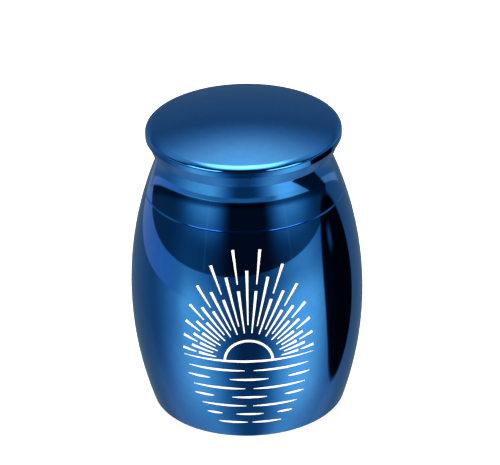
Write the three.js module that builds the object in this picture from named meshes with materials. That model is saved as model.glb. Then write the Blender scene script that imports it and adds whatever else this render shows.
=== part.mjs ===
import * as THREE from 'three';

// Keepsake funeral urn, small enough to hold in one hand: a barrel-shaped metal vessel and a
// lid whose hollow spigot plugs into the vessel's mouth. Both are turned about one axis.
// Millimetres, +Z up, origin at the centre of the underside.

// Overall sizes and the rounded flank that the vessel and the lid's shoulder share
const HEIGHT = 40;
const BELLY_RADIUS = 15;
const BELLY_HEIGHT = 15.6;
const BASE_RADIUS = 12.4;
const SEAM_HEIGHT = 30.05;

// Vessel: walls, floor, mouth and edges
const WALL = 2;
const FLOOR = 2;
const FLOOR_ROUND = 1.5;
const BASE_ROUND = 0.4;
const MOUTH_RADIUS = 10.6;
const COLLAR_DEPTH = 5.6;
const UNDERCUT_DROP = 1.6;
const SEAM_CHAMFER = 0.12;

// Lid: cove under the lip, flared lip, overhanging rim and low dome with a rounded edge
const COVE_ROUND = 0.2;
const LIP_UNDERSIDE = 35.85;
const LIP_RADIUS = 11.8;
const LIP_FLARE = 0.5;
const LIP_ROUND = 0.15;
const RIM_RADIUS = 12.55;
const RIM_UNDERSIDE = 37.45;
const RIM_LOWER_ROUND = 0.15;
const RIM_UPPER_ROUND = 0.45;
const RIM_SHOULDER = 38.15;
const DOME_EDGE_ROUND = 2.5;
const DOME_EDGE_TURN = THREE.MathUtils.degToRad(58);

// Lid: spigot that plugs into the mouth, and the recess inside it
const SPIGOT_CLEARANCE = 0.3;
const SPIGOT_LENGTH = 5;
const SPIGOT_WALL = 1.8;
const SPIGOT_CHAMFER = 0.4;
const RECESS_CEILING = 37;
const RECESS_ROUND = 1;

// Facets: sides around the axis, and steps along the long, middling and small arcs
const SIDES = 60;
const LONG_STEPS = 14;
const MIDDLE_STEPS = 6;
const SMALL_STEPS = 3;

// Finish: mirror-polished metal under a transparent blue lacquer
const BLUE = '#1d5fae';
const POLISH = 0.08;

const QUARTER_TURN = Math.PI / 2;
const point = (radius, height) => new THREE.Vector2(radius, height);

// Point in the plane of the profile at a distance and angle, measured up from the outward radius
const offset = (centre, distance, angle) =>
  point(centre.x + distance * Math.cos(angle), centre.y + distance * Math.sin(angle));

// Points along an arc from one angle to another
const arc = (centre, radius, from, to, steps) =>
  Array.from({ length: steps + 1 }, (_, i) =>
    offset(centre, radius, from + ((to - from) * i) / steps));

// Angle of the line from one centre to another
const bearing = (from, to) => Math.atan2(to.y - from.y, to.x - from.x);

// The flank is one circular arc from the base, over the belly, up to the lid's cove
const flankSag = BELLY_RADIUS - BASE_RADIUS;
const flankRadius = (flankSag ** 2 + BELLY_HEIGHT ** 2) / (2 * flankSag);
const flankCentre = point(BELLY_RADIUS - flankRadius, BELLY_HEIGHT);
const wallRadius = flankRadius - WALL;
const flankAngle = (height, radius) => Math.asin((height - BELLY_HEIGHT) / radius);
const flankWidth = (height) => flankCentre.x + flankRadius * Math.cos(flankAngle(height, flankRadius));

// Centre of a circle at a given height whose centre lies a given distance from the flank's
const centreFromFlank = (distance, height) =>
  point(flankCentre.x + Math.sqrt(distance ** 2 - (height - BELLY_HEIGHT) ** 2), height);

// Both pieces are broken by the same small chamfer where they meet
const seamRadius = flankWidth(SEAM_HEIGHT) - SEAM_CHAMFER;

function vesselProfile() {
  const baseEdge = centreFromFlank(flankRadius - BASE_ROUND, BASE_ROUND);
  const baseTurn = bearing(flankCentre, baseEdge);
  const seamTurn = flankAngle(SEAM_HEIGHT - SEAM_CHAMFER, flankRadius);

  const collarEnd = SEAM_HEIGHT - COLLAR_DEPTH;
  const cavityTop = flankAngle(collarEnd - UNDERCUT_DROP, wallRadius);
  const floorEdge = centreFromFlank(wallRadius - FLOOR_ROUND, FLOOR + FLOOR_ROUND);
  const floorTurn = bearing(flankCentre, floorEdge);

  return [
    point(0, 0),
    ...arc(baseEdge, BASE_ROUND, -QUARTER_TURN, baseTurn, SMALL_STEPS),
    ...arc(flankCentre, flankRadius, baseTurn, seamTurn, LONG_STEPS).slice(1),
    point(seamRadius, SEAM_HEIGHT),
    point(MOUTH_RADIUS + SEAM_CHAMFER, SEAM_HEIGHT),
    point(MOUTH_RADIUS, SEAM_HEIGHT - SEAM_CHAMFER),
    point(MOUTH_RADIUS, collarEnd),
    ...arc(flankCentre, wallRadius, cavityTop, floorTurn, LONG_STEPS),
    ...arc(floorEdge, FLOOR_ROUND, floorTurn, -QUARTER_TURN, SMALL_STEPS).slice(1),
    point(0, FLOOR),
  ];
}

function lidProfile() {
  const spigotRadius = MOUTH_RADIUS - SPIGOT_CLEARANCE;
  const spigotEnd = SEAM_HEIGHT - SPIGOT_LENGTH;
  const recessRadius = spigotRadius - SPIGOT_WALL;
  const recessEdge = point(recessRadius - RECESS_ROUND, RECESS_CEILING - RECESS_ROUND);

  // The shoulder rises from the seam into a hollow cove, which ends in the lip's flat underside
  const seamTurn = flankAngle(SEAM_HEIGHT + SEAM_CHAMFER, flankRadius);
  const cove = centreFromFlank(flankRadius + COVE_ROUND, LIP_UNDERSIDE - COVE_ROUND);
  const coveTurn = bearing(flankCentre, cove);

  // The lip flares out as it rises to the rim
  const lip = point(LIP_RADIUS - LIP_ROUND, LIP_UNDERSIDE + LIP_ROUND);
  const lipTurn = -Math.atan2(LIP_FLARE, RIM_UNDERSIDE - LIP_UNDERSIDE);

  // The rim's upper edge, the dome's rounded edge and the dome itself touch one another smoothly
  const rimLower = point(RIM_RADIUS - RIM_LOWER_ROUND, RIM_UNDERSIDE + RIM_LOWER_ROUND);
  const rimUpper = point(RIM_RADIUS - RIM_UPPER_ROUND, RIM_SHOULDER);
  const domeEdge = offset(rimUpper, RIM_UPPER_ROUND - DOME_EDGE_ROUND, DOME_EDGE_TURN);
  const domeRise = HEIGHT - domeEdge.y;
  const domeRadius =
    (domeEdge.x ** 2 + domeRise ** 2 - DOME_EDGE_ROUND ** 2) / (2 * (domeRise - DOME_EDGE_ROUND));
  const dome = point(0, HEIGHT - domeRadius);
  const domeTurn = bearing(dome, domeEdge);

  return [
    point(0, RECESS_CEILING),
    ...arc(recessEdge, RECESS_ROUND, QUARTER_TURN, 0, SMALL_STEPS),
    point(recessRadius, spigotEnd),
    point(spigotRadius - SPIGOT_CHAMFER, spigotEnd),
    point(spigotRadius, spigotEnd + SPIGOT_CHAMFER),
    point(spigotRadius, SEAM_HEIGHT),
    point(seamRadius, SEAM_HEIGHT),
    ...arc(flankCentre, flankRadius, seamTurn, coveTurn, SMALL_STEPS),
    ...arc(cove, COVE_ROUND, coveTurn + Math.PI, QUARTER_TURN, SMALL_STEPS).slice(1),
    ...arc(lip, LIP_ROUND, -QUARTER_TURN, lipTurn, SMALL_STEPS),
    point(LIP_RADIUS + LIP_FLARE, RIM_UNDERSIDE),
    ...arc(rimLower, RIM_LOWER_ROUND, -QUARTER_TURN, 0, SMALL_STEPS),
    ...arc(rimUpper, RIM_UPPER_ROUND, 0, DOME_EDGE_TURN, SMALL_STEPS),
    ...arc(domeEdge, DOME_EDGE_ROUND, DOME_EDGE_TURN, domeTurn, SMALL_STEPS).slice(1),
    ...arc(dome, domeRadius, domeTurn, QUARTER_TURN, MIDDLE_STEPS).slice(1, -1),
    point(0, HEIGHT),
  ];
}

// A profile turned once around the urn's axis, as a named piece with its own finish
function turned(name, profile) {
  const geometry = new THREE.LatheGeometry(profile, SIDES);
  geometry.rotateX(QUARTER_TURN);
  const finish = new THREE.MeshStandardMaterial({ color: BLUE, roughness: POLISH, metalness: 1 });
  const piece = new THREE.Mesh(geometry, finish);
  piece.name = name;
  return piece;
}

const urn = new THREE.Group();
urn.add(turned('vessel', vesselProfile()));
urn.add(turned('lid', lidProfile()));

export default urn;
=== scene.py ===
import math

import bpy
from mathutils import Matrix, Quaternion, Vector


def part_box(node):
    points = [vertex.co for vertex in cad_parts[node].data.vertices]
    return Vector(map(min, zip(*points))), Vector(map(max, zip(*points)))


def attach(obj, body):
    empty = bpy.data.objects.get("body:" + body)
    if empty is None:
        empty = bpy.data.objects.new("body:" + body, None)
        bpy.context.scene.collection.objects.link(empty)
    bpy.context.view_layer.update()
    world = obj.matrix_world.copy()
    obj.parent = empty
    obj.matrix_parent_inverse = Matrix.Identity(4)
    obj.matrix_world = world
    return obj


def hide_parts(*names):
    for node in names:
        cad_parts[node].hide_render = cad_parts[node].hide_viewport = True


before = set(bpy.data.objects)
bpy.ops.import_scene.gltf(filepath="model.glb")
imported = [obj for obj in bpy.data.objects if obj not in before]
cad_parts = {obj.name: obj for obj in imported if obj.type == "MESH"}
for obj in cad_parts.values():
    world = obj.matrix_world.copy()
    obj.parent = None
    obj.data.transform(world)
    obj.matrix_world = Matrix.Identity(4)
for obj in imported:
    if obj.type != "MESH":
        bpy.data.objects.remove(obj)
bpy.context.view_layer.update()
bpy.ops.object.select_all(action="DESELECT")


# Vessel
# A barrel-shaped cup turned from aluminium, hollow, with an even wall and a flat underside.
# Its mouth has a thicker collar that takes the lid's spigot. Polished to a mirror, then
# lacquered in transparent blue, so it shows the room around it tinted blue.
MM = 0.001
QUARTER_TURN = math.pi / 2

vessel_low, vessel_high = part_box("vessel")
SEAM_HEIGHT = vessel_high[2]
BELLY_RADIUS = vessel_high[0]
BELLY_HEIGHT = 15.6 * MM
BASE_RADIUS = 12.4 * MM
BASE_ROUND = 0.4 * MM
WALL = 2.0 * MM
FLOOR = 2.0 * MM
FLOOR_ROUND = 1.5 * MM
MOUTH_RADIUS = 10.6 * MM
COLLAR_DEPTH = 5.6 * MM
UNDERCUT_DROP = 1.6 * MM
SEAM_CHAMFER = 0.12 * MM
TURNED_STEPS = 256
FLANK_STEPS = 72
CAVITY_STEPS = 28
BASE_STEPS = 10
FLOOR_STEPS = 6
WELD = 0.001 * MM
SHARP_EDGE = math.radians(30)

flank_sag = BELLY_RADIUS - BASE_RADIUS
FLANK_RADIUS = (flank_sag ** 2 + BELLY_HEIGHT ** 2) / (2 * flank_sag)
FLANK_CENTRE = Vector((BELLY_RADIUS - FLANK_RADIUS, BELLY_HEIGHT))


def offset(centre, distance, angle):
    """Point of the outline at a distance and angle from a centre."""
    return centre + distance * Vector((math.cos(angle), math.sin(angle)))


def arc(centre, radius, start, end, steps):
    """Points (radius, height) along an arc of the outline, from one angle to another."""
    angles = [start + (end - start) * step / steps for step in range(steps + 1)]
    return [offset(centre, radius, angle) for angle in angles]


def bearing(start, end):
    """Angle of the line from one centre to another."""
    return math.atan2(end.y - start.y, end.x - start.x)


def flank_angle(height, radius=FLANK_RADIUS):
    """Angle at which an arc about the flank's centre reaches a height."""
    return math.asin((height - BELLY_HEIGHT) / radius)


def centre_from_flank(distance, height):
    """Centre of a circle at a height, a given distance from the flank's centre."""
    out = math.sqrt(distance ** 2 - (height - BELLY_HEIGHT) ** 2)
    return Vector((FLANK_CENTRE.x + out, height))


def turned(name, outline):
    """A piece turned about the urn's axis: the outline is drawn point by point, then spun."""
    bpy.ops.object.select_all(action="DESELECT")
    bpy.ops.mesh.primitive_plane_add(size=MM)
    piece = bpy.context.object
    piece.name = name
    bpy.ops.object.mode_set(mode="EDIT")
    bpy.ops.mesh.select_all(action="SELECT")
    bpy.ops.mesh.merge(type="CENTER")
    start = outline[0]
    bpy.ops.transform.translate(value=(start.x, 0, start.y))
    for before, after in zip(outline, outline[1:]):
        step = after - before
        bpy.ops.mesh.extrude_region_move(TRANSFORM_OT_translate={"value": (step.x, 0, step.y)})
    bpy.ops.mesh.select_all(action="SELECT")
    bpy.ops.mesh.spin(steps=TURNED_STEPS, angle=2 * math.pi, center=(0, 0, 0), axis=(0, 0, 1))
    bpy.ops.mesh.select_all(action="SELECT")
    bpy.ops.mesh.remove_doubles(threshold=WELD)
    bpy.ops.mesh.normals_make_consistent(inside=False)
    bpy.ops.object.mode_set(mode="OBJECT")
    bpy.ops.object.shade_smooth_by_angle(angle=SHARP_EDGE)
    return piece


wall_radius = FLANK_RADIUS - WALL
base_edge = centre_from_flank(FLANK_RADIUS - BASE_ROUND, BASE_ROUND)
base_turn = bearing(FLANK_CENTRE, base_edge)
seam_edge = FLANK_CENTRE.x + FLANK_RADIUS * math.cos(flank_angle(SEAM_HEIGHT)) - SEAM_CHAMFER
seam_turn = flank_angle(SEAM_HEIGHT - SEAM_CHAMFER)
collar_end = SEAM_HEIGHT - COLLAR_DEPTH
floor_edge = centre_from_flank(wall_radius - FLOOR_ROUND, FLOOR + FLOOR_ROUND)
floor_turn = bearing(FLANK_CENTRE, floor_edge)
cavity_top = flank_angle(collar_end - UNDERCUT_DROP, wall_radius)

vessel = turned("vessel_turned", [
    Vector((0, 0)),
    *arc(base_edge, BASE_ROUND, -QUARTER_TURN, base_turn, BASE_STEPS),
    *arc(FLANK_CENTRE, FLANK_RADIUS, base_turn, seam_turn, FLANK_STEPS)[1:],
    Vector((seam_edge, SEAM_HEIGHT)),
    Vector((MOUTH_RADIUS + SEAM_CHAMFER, SEAM_HEIGHT)),
    Vector((MOUTH_RADIUS, SEAM_HEIGHT - SEAM_CHAMFER)),
    Vector((MOUTH_RADIUS, collar_end)),
    *arc(FLANK_CENTRE, wall_radius, cavity_top, floor_turn, CAVITY_STEPS),
    *arc(floor_edge, FLOOR_ROUND, floor_turn, -QUARTER_TURN, FLOOR_STEPS)[1:],
    Vector((0, FLOOR)),
])


class Wire:
    """A node tree's output socket. Arithmetic on wires adds Math nodes to the tree."""

    def __init__(self, tree, socket=None):
        self.tree = tree
        self.socket = socket

    def node(self, kind, settings=None, sockets=None, output=0):
        """A new node: its settings are set first, then its sockets get values or links."""
        made = self.tree.nodes.new(kind)
        for name, value in (settings or {}).items():
            setattr(made, name, value)
        for name, value in (sockets or {}).items():
            if isinstance(value, Wire):
                self.tree.links.new(value.socket, made.inputs[name])
            else:
                made.inputs[name].default_value = value
        outlet = made.outputs[output] if made.outputs else None
        return Wire(self.tree, outlet)

    def math(self, operation, first, second=0.0):
        return self.node("ShaderNodeMath", {"operation": operation}, {0: first, 1: second})

    def smooth(self, low, high):
        """0 below low, 1 above high, with an S-curve between; low may be the larger."""
        sockets = {0: self, 1: low, 2: high}
        return self.node("ShaderNodeMapRange", {"interpolation_type": "SMOOTHSTEP"}, sockets)

    def __add__(self, other):
        return self.math("ADD", self, other)

    def __radd__(self, other):
        return self.math("ADD", other, self)

    def __sub__(self, other):
        return self.math("SUBTRACT", self, other)

    def __rsub__(self, other):
        return self.math("SUBTRACT", other, self)

    def __mul__(self, other):
        return self.math("MULTIPLY", self, other)

    def __rmul__(self, other):
        return self.math("MULTIPLY", other, self)

    def __truediv__(self, other):
        return self.math("DIVIDE", self, other)

    def __rtruediv__(self, other):
        return self.math("DIVIDE", other, self)


def new_material(name):
    """An empty material with its node tree, as a wire to start from."""
    material = bpy.data.materials.new(name)
    material.use_nodes = True
    material.node_tree.nodes.clear()
    return material, Wire(material.node_tree)


def noise(wire, place, size, detail=2.0):
    """Soft noise from 0 to 1 with features of a given size in metres."""
    sockets = {"Vector": place, "Scale": 1 / size, "Detail": detail}
    return wire.node("ShaderNodeTexNoise", {}, sockets)


def blend(wire, share, first, second):
    """A colour that goes from the first to the second as the share rises from 0 to 1."""
    sockets = {0: share, 6: first, 7: second}
    return wire.node("ShaderNodeMix", {"data_type": "RGBA"}, sockets, 2)


LACQUER_DEEP = (0.018, 0.190, 0.580, 1)
LACQUER_THIN = (0.028, 0.235, 0.660, 1)
DUST = (0.62, 0.68, 0.76, 1)
LACQUER_MOTTLE = 1.1 * MM
WAVINESS = 3.2 * MM
WAVE_DEPTH = 0.0016 * MM
ORANGE_PEEL = 0.45 * MM
SMUDGE = 7.0 * MM
DUST_SPACING = 3.4 * MM

blue_metal, wire = new_material("blue_lacquered_metal")
place = wire.node("ShaderNodeTexCoord", output="Object")
mottle = noise(wire, place, LACQUER_MOTTLE, detail=3.0)
smudge = noise(wire, place, SMUDGE, detail=4.0).smooth(0.45, 0.75)
cells = {"Vector": place, "Scale": 1 / DUST_SPACING}
near = wire.node("ShaderNodeTexVoronoi", {}, cells, "Distance")
pick = wire.node("ShaderNodeTexVoronoi", {}, cells, "Color")
chosen = wire.node("ShaderNodeSeparateColor", {}, {0: pick}).smooth(0.66, 0.70)
speck = near.smooth(0.034, 0.018) * chosen
lacquer = blend(wire, mottle, LACQUER_DEEP, LACQUER_THIN)
dusted = blend(wire, speck * 0.5, lacquer, DUST)
waves = noise(wire, place, WAVINESS) + 0.10 * noise(wire, place, ORANGE_PEEL)
ripple = wire.node("ShaderNodeBump", {}, {"Height": waves, "Strength": 1.0, "Distance": WAVE_DEPTH})
shader = wire.node("ShaderNodeBsdfPrincipled", {}, {
    "Base Color": dusted,
    "Metallic": 1.0,
    "Roughness": 0.018 + 0.022 * smudge + 0.30 * speck,
    "Normal": ripple,
    "Coat Weight": 0.1,
    "Coat Roughness": 0.02,
    "Coat IOR": 1.5,
})
wire.node("ShaderNodeOutputMaterial", {}, {"Surface": shader})

vessel.data.materials.append(blue_metal)
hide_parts("vessel")
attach(vessel, "root")


# Lid
# A turned aluminium lid in the same blue lacquer. Its shoulder carries on the vessel's curve,
# then come a hollow cove, a flared lip, an overhanging rim and a low dome with a rounded edge.
# A hollow spigot below drops into the vessel's collar; the shoulder rests on the vessel's edge.
lid_low, lid_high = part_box("lid")
HEIGHT = lid_high[2]
SPIGOT_END = lid_low[2]
COVE_ROUND = 0.2 * MM
LIP_UNDERSIDE = 35.85 * MM
LIP_RADIUS = 11.8 * MM
LIP_FLARE = 0.5 * MM
LIP_ROUND = 0.15 * MM
RIM_RADIUS = 12.55 * MM
RIM_UNDERSIDE = 37.45 * MM
RIM_LOWER_ROUND = 0.15 * MM
RIM_UPPER_ROUND = 0.45 * MM
RIM_SHOULDER = 38.15 * MM
DOME_EDGE_ROUND = 2.5 * MM
DOME_EDGE_TURN = math.radians(58)
SPIGOT_CLEARANCE = 0.3 * MM
SPIGOT_WALL = 1.8 * MM
SPIGOT_CHAMFER = 0.4 * MM
RECESS_CEILING = 37.0 * MM
RECESS_ROUND = 1.0 * MM
RECESS_STEPS = 6
SHOULDER_STEPS = 14
COVE_STEPS = 12
LIP_STEPS = 8
RIM_LOWER_STEPS = 8
RIM_UPPER_STEPS = 14
DOME_EDGE_STEPS = 12
DOME_STEPS = 40

spigot_radius = MOUTH_RADIUS - SPIGOT_CLEARANCE
recess_radius = spigot_radius - SPIGOT_WALL
recess_edge = Vector((recess_radius - RECESS_ROUND, RECESS_CEILING - RECESS_ROUND))

cove = centre_from_flank(FLANK_RADIUS + COVE_ROUND, LIP_UNDERSIDE - COVE_ROUND)
cove_turn = bearing(FLANK_CENTRE, cove)
shoulder_turn = flank_angle(SEAM_HEIGHT + SEAM_CHAMFER)
lip = Vector((LIP_RADIUS - LIP_ROUND, LIP_UNDERSIDE + LIP_ROUND))
lip_turn = -math.atan2(LIP_FLARE, RIM_UNDERSIDE - LIP_UNDERSIDE)

rim_lower = Vector((RIM_RADIUS - RIM_LOWER_ROUND, RIM_UNDERSIDE + RIM_LOWER_ROUND))
rim_upper = Vector((RIM_RADIUS - RIM_UPPER_ROUND, RIM_SHOULDER))
dome_edge = offset(rim_upper, RIM_UPPER_ROUND - DOME_EDGE_ROUND, DOME_EDGE_TURN)
dome_rise = HEIGHT - dome_edge.y
dome_span = dome_edge.x ** 2 + dome_rise ** 2 - DOME_EDGE_ROUND ** 2
dome_radius = dome_span / (2 * (dome_rise - DOME_EDGE_ROUND))
dome = Vector((0, HEIGHT - dome_radius))
dome_turn = bearing(dome, dome_edge)

lid = turned("lid_turned", [
    Vector((0, RECESS_CEILING)),
    *arc(recess_edge, RECESS_ROUND, QUARTER_TURN, 0, RECESS_STEPS),
    Vector((recess_radius, SPIGOT_END)),
    Vector((spigot_radius - SPIGOT_CHAMFER, SPIGOT_END)),
    Vector((spigot_radius, SPIGOT_END + SPIGOT_CHAMFER)),
    Vector((spigot_radius, SEAM_HEIGHT)),
    Vector((seam_edge, SEAM_HEIGHT)),
    *arc(FLANK_CENTRE, FLANK_RADIUS, shoulder_turn, cove_turn, SHOULDER_STEPS),
    *arc(cove, COVE_ROUND, cove_turn + math.pi, QUARTER_TURN, COVE_STEPS)[1:],
    *arc(lip, LIP_ROUND, -QUARTER_TURN, lip_turn, LIP_STEPS),
    Vector((LIP_RADIUS + LIP_FLARE, RIM_UNDERSIDE)),
    *arc(rim_lower, RIM_LOWER_ROUND, -QUARTER_TURN, 0, RIM_LOWER_STEPS),
    *arc(rim_upper, RIM_UPPER_ROUND, 0, DOME_EDGE_TURN, RIM_UPPER_STEPS),
    *arc(dome_edge, DOME_EDGE_ROUND, DOME_EDGE_TURN, dome_turn, DOME_EDGE_STEPS)[1:],
    *arc(dome, dome_radius, dome_turn, QUARTER_TURN, DOME_STEPS)[1:-1],
    Vector((0, HEIGHT)),
])
lid.data.materials.append(blue_metal)
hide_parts("lid")
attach(lid, "root")


# Front marking
# A sunrise over calm water, cut through the lacquer by laser so that the frosted metal shows
# white. It is a film of tapered strokes, drawn flat in front of the vessel and then pressed
# onto its curved wall.
HORIZON_HEIGHT = 12.6 * MM
SUN_RADIUS = 3.2 * MM
SUN_LINE = 0.30 * MM
SUN_SIDES = 96
RAY_START = 4.2 * MM
RAY_SPREAD = 8.3 * MM
RAY_REACH = 15.6 * MM
RAY_COUNT = 27
RAY_LOWEST = math.radians(7)
RAY_WIDTH = 0.36 * MM
RIPPLE_WIDTH = 0.30 * MM
RIPPLE_ROWS = 7
RIPPLE_STEP = 1.42 * MM
RIPPLE_SPREAD = 8.2 * MM
FILM = 0.02 * MM
DRAWING_PLANE = -(BELLY_RADIUS + 2 * MM)
STROKE_CUTS = 31


def stroke_master(name, widths):
    """A flat stroke of unit length along X, whose width along Z follows a rule from end to end."""
    bpy.ops.object.select_all(action="DESELECT")
    bpy.ops.mesh.primitive_plane_add(size=1, rotation=(QUARTER_TURN, 0, 0))
    master = bpy.context.object
    master.name = name
    bpy.ops.object.transform_apply(location=True, rotation=True, scale=True)
    bpy.ops.object.mode_set(mode="EDIT")
    bpy.ops.mesh.select_all(action="DESELECT")
    bpy.ops.object.mode_set(mode="OBJECT")
    for edge in master.data.edges:
        ends = [master.data.vertices[index].co for index in edge.vertices]
        edge.select = abs(ends[0].z - ends[1].z) < 0.5
    bpy.ops.object.mode_set(mode="EDIT")
    bpy.ops.mesh.select_mode(type="EDGE")
    bpy.ops.mesh.subdivide(number_cuts=STROKE_CUTS)
    bpy.ops.object.mode_set(mode="OBJECT")
    for corner in master.data.vertices:
        corner.co.z *= widths(corner.co.x + 0.5)
    return master


def copy_stroke(master, centre_x, centre_z, length, width, angle):
    """A copy of a stroke with its own mesh, at its place in the drawing."""
    copy = master.copy()
    copy.data = master.data.copy()
    bpy.context.collection.objects.link(copy)
    copy.scale = (length, 1, width)
    copy.rotation_euler = (0, -angle, 0)
    copy.location = (centre_x, DRAWING_PLANE, centre_z)
    return copy


ray_master = stroke_master("ray_master", lambda along: 0.35 + 0.65 * along)
ripple_master = stroke_master("ripple_master", lambda along: max(0.12, math.sin(math.pi * along)) ** 0.6)
strokes = []

for number in range(RAY_COUNT):
    angle = RAY_LOWEST + (math.pi - 2 * RAY_LOWEST) * number / (RAY_COUNT - 1)
    reach = 1 / math.hypot(math.cos(angle) / RAY_SPREAD, math.sin(angle) / RAY_REACH)
    span = reach - RAY_START
    if number % 2 == 0:
        dashes = [(0.00, 0.52), (0.60, 1.00)]
    else:
        dashes = [(0.10, 0.74)]
    for start, end in dashes:
        middle = RAY_START + span * (start + end) / 2
        strokes.append(copy_stroke(
            ray_master,
            middle * math.cos(angle),
            HORIZON_HEIGHT + middle * math.sin(angle),
            span * (end - start),
            RAY_WIDTH,
            angle,
        ))

strokes.append(copy_stroke(ripple_master, 0, HORIZON_HEIGHT, 2 * RIPPLE_SPREAD, RIPPLE_WIDTH, 0))
for row in range(1, RIPPLE_ROWS + 1):
    height = HORIZON_HEIGHT - row * RIPPLE_STEP
    half = RIPPLE_SPREAD * math.sqrt(1 - (row / (RIPPLE_ROWS + 1.2)) ** 2)
    if row % 2 == 0:
        parts = [(0.0, 0.62), (0.80, 0.34), (-0.80, 0.34)]
    else:
        parts = [(0.50, 0.86), (-0.50, 0.86)]
    for middle, length in parts:
        strokes.append(copy_stroke(ripple_master, half * middle, height, half * length, RIPPLE_WIDTH, 0))

bpy.ops.object.select_all(action="DESELECT")
bpy.ops.mesh.primitive_circle_add(
    vertices=SUN_SIDES, radius=SUN_RADIUS, location=(0, DRAWING_PLANE, HORIZON_HEIGHT),
    rotation=(QUARTER_TURN, 0, 0))
sun = bpy.context.object
bpy.ops.object.transform_apply(location=True, rotation=True, scale=True)
bpy.ops.object.mode_set(mode="EDIT")
bpy.ops.mesh.select_all(action="SELECT")
bpy.ops.mesh.extrude_edges_move()
inner = 1 - SUN_LINE / SUN_RADIUS
bpy.ops.transform.resize(
    value=(inner, 1, inner), center_override=(0, DRAWING_PLANE, HORIZON_HEIGHT))
bpy.ops.mesh.select_all(action="SELECT")
bpy.ops.mesh.bisect(
    plane_co=(0, DRAWING_PLANE, HORIZON_HEIGHT), plane_no=(0, 0, 1), clear_inner=True)
bpy.ops.object.mode_set(mode="OBJECT")

bpy.ops.object.select_all(action="DESELECT")
for stroke in strokes:
    stroke.select_set(True)
sun.select_set(True)
bpy.context.view_layer.objects.active = sun
bpy.ops.object.transform_apply(location=True, rotation=True, scale=True)
bpy.ops.object.join()
marking = bpy.context.object
marking.name = "front_marking"
for master in (ray_master, ripple_master):
    bpy.data.objects.remove(master)

press = marking.modifiers.new("press", "SHRINKWRAP")
press.target = vessel
press.wrap_method = "PROJECT"
press.use_project_y = True
press.use_positive_direction = True
press.use_negative_direction = False
press.offset = FILM / 2
film = marking.modifiers.new("film", "SOLIDIFY")
film.thickness = FILM
film.offset = 0
bpy.ops.object.modifier_apply(modifier="press")
bpy.ops.object.modifier_apply(modifier="film")
bpy.ops.object.mode_set(mode="EDIT")
bpy.ops.mesh.select_all(action="SELECT")
bpy.ops.mesh.normals_make_consistent(inside=False)
bpy.ops.object.mode_set(mode="OBJECT")
bpy.ops.object.shade_smooth_by_angle(angle=SHARP_EDGE)

ETCH_BRIGHT = (0.93, 0.94, 0.95, 1)
ETCH_DULL = (0.78, 0.82, 0.88, 1)
ETCH_GRAIN = 0.06 * MM
ETCH_DEPTH = 0.01 * MM

etched_white, wire = new_material("laser_etched_white")
place = wire.node("ShaderNodeTexCoord", output="Object")
grain = noise(wire, place, ETCH_GRAIN, detail=4.0)
frost = blend(wire, grain.smooth(0.55, 0.75), ETCH_BRIGHT, ETCH_DULL)
pits = wire.node("ShaderNodeBump", {}, {"Height": grain, "Strength": 0.5, "Distance": ETCH_DEPTH})
shader = wire.node("ShaderNodeBsdfPrincipled", {}, {
    "Base Color": frost,
    "Metallic": 0.0,
    "Roughness": 0.55 + 0.25 * grain,
    "Normal": pits,
})
wire.node("ShaderNodeOutputMaterial", {}, {"Surface": shader})
marking.data.materials.append(etched_white)
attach(marking, "root")


# Floor
# A plain pale table top, seen only by the camera and by soft light; what the polish mirrors
# of the table is part of the studio below.
FLOOR_SIZE = 6.0
FLOOR_PALE = (0.90, 0.90, 0.90, 1)
FLOOR_COOL = (0.88, 0.88, 0.885, 1)
FLOOR_PATCHES = 0.4
FLOOR_GLOW = 0.72

bpy.ops.object.select_all(action="DESELECT")
bpy.ops.mesh.primitive_plane_add(size=FLOOR_SIZE, location=(0, 0, vessel_low[2]))
floor = bpy.context.object
floor.name = "floor"
floor.visible_glossy = False
paper, wire = new_material("pale_table")
place = wire.node("ShaderNodeTexCoord", output="Object")
tone = blend(wire, noise(wire, place, FLOOR_PATCHES), FLOOR_PALE, FLOOR_COOL)
shader = wire.node("ShaderNodeBsdfPrincipled", {}, {
    "Base Color": tone,
    "Roughness": 0.9,
    "Specular IOR Level": 0.1,
    "Emission Color": (1, 1, 1, 1),
    "Emission Strength": FLOOR_GLOW,
})
wire.node("ShaderNodeOutputMaterial", {}, {"Surface": shader})
floor.data.materials.append(paper)


# Studio
# What the polish mirrors: a soft ceiling, a dark opening towards the camera with a pale frame,
# a white table lit on either side of the front, a dark block on the right, two soft boxes
# in front and a strong one overhead. The camera itself sees a plain pale backdrop.
world = bpy.data.worlds.new("studio")
bpy.context.scene.world = world
world.use_nodes = True
world.node_tree.nodes.clear()
wire = Wire(world.node_tree)
aim = wire.node("ShaderNodeTexCoord", output="Generated")
east, north, up = [wire.node("ShaderNodeSeparateXYZ", {}, {0: aim}, axis) for axis in "XYZ"]
# Directions in degrees: azimuth from the front towards the right, elevation above the horizon
degrees = 180 / math.pi
azimuth = degrees * wire.math("ARCTAN2", east, 0 - north)
elevation = degrees * wire.math("ARCSINE", up)


def hill(value, centre, half):
    """1 at the centre, falling smoothly to 0 at half a width away."""
    return wire.math("ABSOLUTE", value - centre).smooth(half, 0)


# The opening's upper edge is highest in front and sinks to either side
aside = wire.math("ABSOLUTE", azimuth)
opening_top = wire.math("MAXIMUM", 16 - 7.5 * (azimuth / 70) * (azimuth / 70), -15)
over = elevation - opening_top

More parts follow.
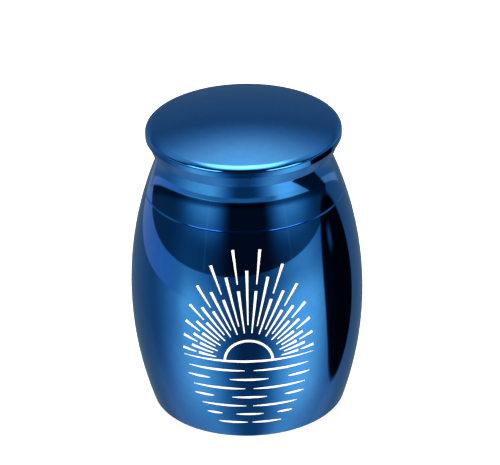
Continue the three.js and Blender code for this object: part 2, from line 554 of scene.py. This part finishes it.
# Ceiling: dim above the opening, brighter to the sides, with the soft boxes higher up
side_glow = aside.smooth(8, 48) * (1 - 0.8 * aside.smooth(48, 116))
right_glow = 0.38 * azimuth.smooth(30, 50) * azimuth.smooth(76, 58)
far_glow = 0.12 * over.smooth(1.8, 3.5) * aside.smooth(95, 130) * aside.smooth(165, 145)
low_ceiling = 0.14 + 0.92 * side_glow * (1 - 0.4 * aside.smooth(120, 160)) + right_glow + far_glow
soft_boxes = 7.0 * aside.smooth(26, 34) * aside.smooth(76, 66) * hill(elevation, 36, 14)
overhead = 9.0 * hill(east / up, 0.0, 0.37) * hill(north / up, 0.42, 0.42)
behind = 0.40 + 0.60 * hill(east, 0.0, 0.36)
back_ceiling = north.smooth(0.0, 0.45) * (0.20 + 1.2 * elevation.smooth(27, 54) * behind)
high_ceiling = 0.03 + soft_boxes + overhead + back_ceiling
high = elevation.smooth(22, 30)
ceiling = low_ceiling * (1 - high) + high_ceiling * high
# The opening's pale frame, and a dark patch of ceiling on the right
frame_line = over.smooth(0.05, 0.35) * over.smooth(1.65, 1.30)
right_gap = 0.8 * azimuth.smooth(32, 44) * azimuth.smooth(100, 84)
frame_line = frame_line * (1 - right_gap) * (1 - high) * aside.smooth(150, 132)
frame_glow = 0.42 + 0.17 * aside.smooth(20, 60)
ceiling = ceiling * (1 - frame_line) + frame_glow * frame_line
dark_patch = (over + 0.2 * azimuth).smooth(16.5, 17.1) * (azimuth + 3 * over).smooth(114, 109)
dark_patch = dark_patch * azimuth.smooth(60, 64)
ceiling = ceiling * (1 - 0.95 * dark_patch * (1 - high))

# Inside the opening: a dark room with a paler wall on either side
off_centre = wire.math("ABSOLUTE", azimuth - 2)
room_side = off_centre.smooth(18, 46) * (1 - 0.9 * off_centre.smooth(54, 94))
room_rise = 0.18 + 0.82 * elevation.smooth(-3, 12.5)
upright_lines = 0.08 * hill(azimuth, -43, 1.4) + 0.06 * hill(azimuth, 46, 1.4)
room = 0.018 + 0.07 * aside.smooth(40, 70) + 0.74 * room_side * room_rise + upright_lines
room = room * (1 - 0.7 * over.smooth(-2.6, -0.8))

# Table: lit on either side of the front, with a pale far strip on the left
left_shade = 0.25 * azimuth.smooth(-62, -76) * elevation.smooth(-38, -26)
lit_left = 0.97 * hill(azimuth, -58, 54) * (1 - left_shade)
lit_right = 1.20 * hill(azimuth, 57, 51)
depth = (0.52 + 0.48 * elevation.smooth(-9, -21)) * (1 - 0.5 * elevation.smooth(-42, -60))
near_sides = 0.20 * elevation.smooth(-30, -48) * aside.smooth(60, 100) * aside.smooth(140, 105)
table = 0.10 + 0.12 * elevation.smooth(-35, -62) + 0.15 * aside.smooth(76, 120) + near_sides
table = table + (lit_left + lit_right) * depth
far_strip = elevation.smooth(-18.8, -18.2) * azimuth.smooth(-56, -84) * azimuth.smooth(-172, -140)
table = table * (1 - far_strip) + 0.53 * far_strip

# Table, room and ceiling are stacked from the bottom up
room_part = (elevation - 0.035 * azimuth).smooth(-7.5, -7.0)
lower = table * (1 - room_part) + room * room_part
above = over.smooth(-0.15, 0.15)
brightness = lower * (1 - above) + ceiling * above

# A dark rounded block stands on the table at the right, with one small highlight
block_side = (azimuth - 97 + 0.3 * elevation) / 22
block_rise = (elevation + 22) / 20.5
block = (block_side * block_side + block_rise * block_rise).smooth(1.12, 0.90)
spot = 0.22 * hill(azimuth, 96, 5) * hill(elevation, -10, 4)
brightness = brightness * (1 - 0.98 * block) + spot

# Dim parts are cooler and bright ones warmer; pale edges on the left are a little violet
cool = (0.40, 0.77, 1.0, 1)
warm = (1.55, 1.20, 1.0, 1)
violet = (0.80, 0.80, 1.08, 1)
white = (1, 1, 1, 1)
left_edge = azimuth.smooth(-60, -90) * (frame_line * above + far_strip * (1 - room_part) * (1 - above))
tint = blend(wire, brightness.smooth(0.05, 1.1), cool, warm)
tint = blend(wire, left_edge, tint, violet)
seen = wire.node("ShaderNodeLightPath", output="Is Camera Ray")
colour = blend(wire, seen, tint, white)
strength = brightness * (1 - seen) + seen
light = wire.node("ShaderNodeBackground", {}, {"Color": colour, "Strength": strength})
wire.node("ShaderNodeOutputWorld", {}, {"Surface": light})

FILL_SIZE = 0.12
FILL_PLACE = Vector((0, -0.50, 0.34))
FILL_POWER = 0.9
fill_data = bpy.data.lights.new("front_fill", "AREA")
fill_data.size = FILL_SIZE
fill_data.energy = FILL_POWER
fill = bpy.data.objects.new("front_fill", fill_data)
fill.location = FILL_PLACE
fill.visible_glossy = False
fill.rotation_mode = "QUATERNION"
fill.rotation_quaternion = (Vector((0, 0, HEIGHT / 2)) - FILL_PLACE).to_track_quat("-Z", "Y")
bpy.context.collection.objects.link(fill)
bpy.context.scene.view_settings.view_transform = "Standard"


# Camera
# A long lens, a little above the urn, with the slight tilt to the left that the picture has.
CAMERA_ELEVATION = math.radians(28.48)
CAMERA_DISTANCE = 0.544
CAMERA_TILT = math.radians(-1.3)
LENS = 302.8
SENSOR_WIDTH = 36
AXIS_HEIGHT = 19.42 * MM
FRAMING_RIGHT = 0.54 * MM
FRAMING_UP = 3.33 * MM

camera_data = bpy.data.cameras.new("camera")
camera_data.lens = LENS
camera_data.sensor_width = SENSOR_WIDTH
camera_data.clip_start = 0.01
camera_data.clip_end = 20
camera = bpy.data.objects.new("camera", camera_data)
bpy.context.collection.objects.link(camera)
back = Vector((0, -math.cos(CAMERA_ELEVATION), math.sin(CAMERA_ELEVATION)))
upward = Vector((0, math.sin(CAMERA_ELEVATION), math.cos(CAMERA_ELEVATION)))
target = Vector((0, 0, AXIS_HEIGHT))
camera.location = target + CAMERA_DISTANCE * back
look = target + FRAMING_UP * upward + Vector((FRAMING_RIGHT, 0, 0)) - camera.location
camera.rotation_mode = "QUATERNION"
camera.rotation_quaternion = look.to_track_quat("-Z", "Y") @ Quaternion((0, 0, 1), CAMERA_TILT)
bpy.context.scene.camera = camera
